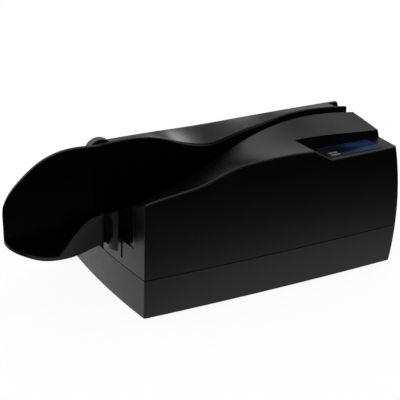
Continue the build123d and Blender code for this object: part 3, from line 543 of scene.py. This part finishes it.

# %% [markdown]
# ## The status panel
#
# The panel is a printed sheet under gloss: dark grey at its left end, where the two light pipes
# are, and blue beyond. The change of colour is a ramp that lies a little aslant. Across the blue
# lies a painted sheen, a soft paler patch of colour that stands for light on the gloss; it is noise,
# drawn out along the panel. Nothing on it is lettering or a picture.

# %% The panel's finish
PANEL_STOPS = [(0.20, (0.006, 0.007, 0.009)), (0.50, (0.002, 0.003, 0.012)),
               (0.85, (0.003, 0.012, 0.040)), (1.00, (0.004, 0.010, 0.024))]
PANEL_SLANT = 0.25
# painted sheen: a paler blue that stands for light on the panel's gloss
PAINTED_SHEEN_BLUE = (0.012, 0.036, 0.085)
SHEEN_SIZE = 55.0
SHEEN_STRETCH = (0.5, 1.6, 1)
SHEEN_START = 0.50
SHEEN_FULL = 0.75
SHEEN_SHARE = 0.7
PANEL_HANDLING = 0.5
PANEL_GLOSS = 0.12
PANEL_SMEARED = 0.20
PANEL_SHINE = 0.05


def panel_finish():
    """Grey to blue overlay with a soft pale painted sheen."""
    material, tree, shader = principled("blue_overlay")
    along, across, _ = coordinates(tree, "Generated")
    slant = math_node(tree, "ADD", along, math_node(tree, "MULTIPLY", across, PANEL_SLANT))
    printed = add_node(tree, "ShaderNodeValToRGB")
    elements = printed.color_ramp.elements
    while len(elements) < len(PANEL_STOPS):
        elements.new(0.5)
    for element, (position, colour) in zip(elements, PANEL_STOPS):
        element.position = position
        element.color = (*colour, 1)
    join(tree, slant, printed.inputs["Fac"])
    # the painted sheen: stretched noise that lightens the blue
    painted_sheen = rescale(tree, noise(tree, SHEEN_SIZE, stretch=SHEEN_STRETCH), SHEEN_START, SHEEN_FULL)
    painted_sheen = math_node(tree, "MULTIPLY", painted_sheen, SHEEN_SHARE, clamp=True)
    join(tree, blend(tree, painted_sheen, printed.outputs["Color"], PAINTED_SHEEN_BLUE), shader.inputs["Base Color"])
    join(tree, smeared(tree, PANEL_HANDLING, PANEL_GLOSS, PANEL_SMEARED), shader.inputs["Roughness"])
    shader.inputs["Specular IOR Level"].default_value = PANEL_SHINE
    return material


print("panel colours:", len(PANEL_STOPS))

# %% [markdown]
# ## The sensor's window
#
# The line sensor looks at the document through a flat pane of clear glass. A glass shader or a
# see-through alpha could make it, but the Principled shader's transmission keeps reflection and
# clearness together in one node. The tint is slight, and a little haze in the roughness, from the
# same smears that the plastics carry, keeps the pane from vanishing.

# %% Clear glass
GLASS_TINT = (0.80, 0.88, 0.90, 1)
GLASS_CLEARNESS = 0.9
GLASS_HANDLING = 0.6
GLASS_GLOSS = 0.03
GLASS_HAZE = 0.08


def clear_glass():
    """Thin window of the line sensor."""
    material, tree, shader = principled("sensor_window")
    shader.inputs["Base Color"].default_value = GLASS_TINT
    shader.inputs["Transmission Weight"].default_value = GLASS_CLEARNESS
    haze = smeared(tree, GLASS_HANDLING, GLASS_GLOSS, GLASS_GLOSS + GLASS_HAZE)
    join(tree, haze, shader.inputs["Roughness"])
    return material


print("glass haze:", GLASS_HAZE)

# %% [markdown]
# ## The list of finishes
#
# Every piece of the model names the substance that it is made of, and this table gives each substance
# its finish. The shells take the glossy black, the tray a satin one and the parts inside duller greys.
# Only the pinch rollers, the pulleys and the platen are nearly white, and they stand inside. A table is
# used, and not a finish inside each step, because two blacks side by side are easier to tell apart.

# %% All finishes
BLACK = (0.0012, 0.0012, 0.0014)
FINISHES = {
    "base_plastic": plastic("satin_tray_black", (0.006, 0.006, 0.0063), 0.34, 0.25, smears=0.4, shine=0.25),
    "shell_plastic": plastic("gloss_shell_black", BLACK, 0.21, 0.05, smears=0.5, dust=0.05, shine=0.25,
                             worn_rim=0.4),
    "cover_plastic": plastic("gloss_cover_black", (0.002, 0.002, 0.0022), 0.26, 0.10, smears=0.5, dust=0.05),
    "guide_plastic": guide_finish(),
    "chassis_plastic": plastic("dull_chassis_grey", (0.045, 0.045, 0.048), 0.55, 0.3),
    "steel": metal("bright_steel", (0.60, 0.60, 0.62), 0.22, 0.18),
    "spring_steel": metal("spring_wire", (0.45, 0.45, 0.47), 0.30, 0.10),
    "bush": metal("sintered_bronze", (0.62, 0.44, 0.22), 0.38, 0.15),
    "motor_can": metal("plated_can", (0.58, 0.58, 0.60), 0.30, 0.22),
    "pulley": plastic("natural_acetal", (0.62, 0.60, 0.54), 0.40, 0.15, dust=0.2),
    "belt": plastic("belt_black", (0.015, 0.015, 0.015), 0.62, 0.5, 1800),
    "head_metal": metal("polished_head", (0.66, 0.66, 0.68), 0.12, 0.06),
    "sensor_housing": plastic("sensor_black", (0.018, 0.018, 0.018), 0.50, 0.2),
    "board": plastic("solder_mask_green", (0.012, 0.09, 0.035), 0.30, 0.1, dust=0.1),
    "component": plastic("epoxy_black", (0.02, 0.02, 0.021), 0.45, 0.2),
    "socket_metal": metal("tin_plate", (0.70, 0.70, 0.71), 0.25, 0.12),
    "panel_blue": panel_finish(),
    "light_pipe": plastic("milky_pipe", (0.11, 0.125, 0.145), 0.35, 0.0),
    "foot_rubber": plastic("foot_rubber_black", (0.018, 0.018, 0.018), 0.75, 0.6, 1500),
    "roller_rubber": plastic("roller_rubber_grey", (0.03, 0.03, 0.032), 0.68, 0.4, 1800),
    "platen_rubber": plastic("white_silicone", (0.62, 0.62, 0.60), 0.50, 0.2, dust=0.2),
    "pinch_plastic": plastic("white_acetal", (0.66, 0.65, 0.60), 0.40, 0.1),
    "sensor_glass": clear_glass(),
}
print("finishes:", len(FINISHES))

# %% [markdown]
# ## Dressing the model
#
# The real scanner is put together from about fifty pieces of some twenty substances. The model's own
# record says which substance each piece is made of. The loop below reads it, so that a piece that is
# added to the model later is dressed without a new line here.

# %% Dress every node
slot_of = {part["node"]: part["material_slot"] for part in frame["record"]["subparts"]}
for name, obj in nodes.items():
    obj.data.materials.clear()
    obj.data.materials.append(FINISHES[slot_of[name]])
print("dressed:", len(slot_of))

# %% [markdown]
# ## The pocket's lip
#
# The pocket in the left end is not cut square in the real moulding. A lip stands along its front edge,
# rounded towards the pocket, and turns round the lower front corner in a short hook. It is the one bright
# line on that dark end, so it is added as a swept form: a section of depth and thickness, carried
# down the edge and round the corner. Its rounded strips take a paler black, a painted highlight.

# %% Pocket lip
LIP_WALL = -0.0416
LIP_EDGE = -0.0391
LIP_TOP = 0.0710
LIP_FLOOR = 0.0437
LIP_TURN = 0.0043
LIP_ROUND = 0.0011
LIP_STEPS = 5
TURN_STEPS = 8
ROUND_STEPS = 6
TURN_RISE = 0.0020
POCKET_BED = -0.0633
END_AT_FLOOR = -0.0679
END_LEAN = 0.03
SMOOTH_BELOW = 35
# painted highlight: the lip's rounded edge is made paler to stand for the light it catches
LIP_PAINTED_HIGHLIGHT = (0.012, 0.012, 0.012)


def lip_stations():
    """Points down the edge and round the corner: place, direction into the wall, thickness."""
    corner = (LIP_EDGE + LIP_TURN, LIP_FLOOR + TURN_RISE + LIP_TURN)
    rows = []
    for step in range(LIP_STEPS + 1):
        z = LIP_TOP + (corner[1] - LIP_TOP) * step / LIP_STEPS
        rows.append(((LIP_EDGE, z), (-1.0, 0.0), LIP_EDGE - LIP_WALL))
    for step in range(1, TURN_STEPS + 1):
        angle = math.radians(90 * step / TURN_STEPS)
        away = (-math.cos(angle), -math.sin(angle))
        place = (corner[0] + LIP_TURN * away[0], corner[1] + LIP_TURN * away[1])
        to_wall = (corner[0] - LIP_WALL) / max(-away[0], 0.001)
        to_floor = (corner[1] - LIP_FLOOR) / -away[1]
        rows.append((place, away, min(to_wall, to_floor) - LIP_TURN))
    return rows


def lip_section(place, away, thickness):
    """One closed ring of points: bed, rounded edge, outer face, back to the bed."""
    end = END_AT_FLOOR + (place[1] - LIP_FLOOR) * END_LEAN
    ring = [(POCKET_BED, 0.0)]
    for step in range(ROUND_STEPS + 1):
        angle = math.radians(90 * step / ROUND_STEPS)
        ring.append((end + LIP_ROUND * (1 - math.sin(angle)), LIP_ROUND * (1 - math.cos(angle))))
    ring += [(end, thickness), (POCKET_BED, thickness)]
    return [(x, place[0] + away[0] * depth, place[1] + away[1] * depth) for x, depth in ring]


def swept_mesh(name, rings, marked):
    """A closed mesh through rings of equal length; the marked strips take the second material."""
    form = bmesh.new()
    loops = [[form.verts.new(point) for point in ring] for ring in rings]
    for first, second in zip(loops, loops[1:]):
        for index in range(len(first)):
            following = (index + 1) % len(first)
            face = form.faces.new((first[index], first[following], second[following], second[index]))
            face.material_index = int(index in marked)
    form.faces.new(loops[0])
    form.faces.new(loops[-1])
    bmesh.ops.recalc_face_normals(form, faces=form.faces)
    made = bpy.data.meshes.new(name)
    form.to_mesh(made)
    form.free()
    return made


lip_rings = [lip_section(*row) for row in lip_stations()]
rounded_strips = range(1, ROUND_STEPS + 1)
lip = bpy.data.objects.new("pocket_lip", swept_mesh("pocket_lip", lip_rings, rounded_strips))
bpy.context.scene.collection.objects.link(lip)
for face in lip.data.polygons:
    face.use_smooth = len(face.vertices) == 4
lip.data.set_sharp_from_angle(angle=math.radians(SMOOTH_BELOW))
lip.data.materials.append(FINISHES["shell_plastic"])
# the rounded strips take the paler black of the painted highlight
lip.data.materials.append(plastic("lip_painted_highlight_black", LIP_PAINTED_HIGHLIGHT, 0.45, smears=0.3, shine=0.4))
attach(lip, "base")
print("pocket lip:", len(lip.data.polygons), "faces")
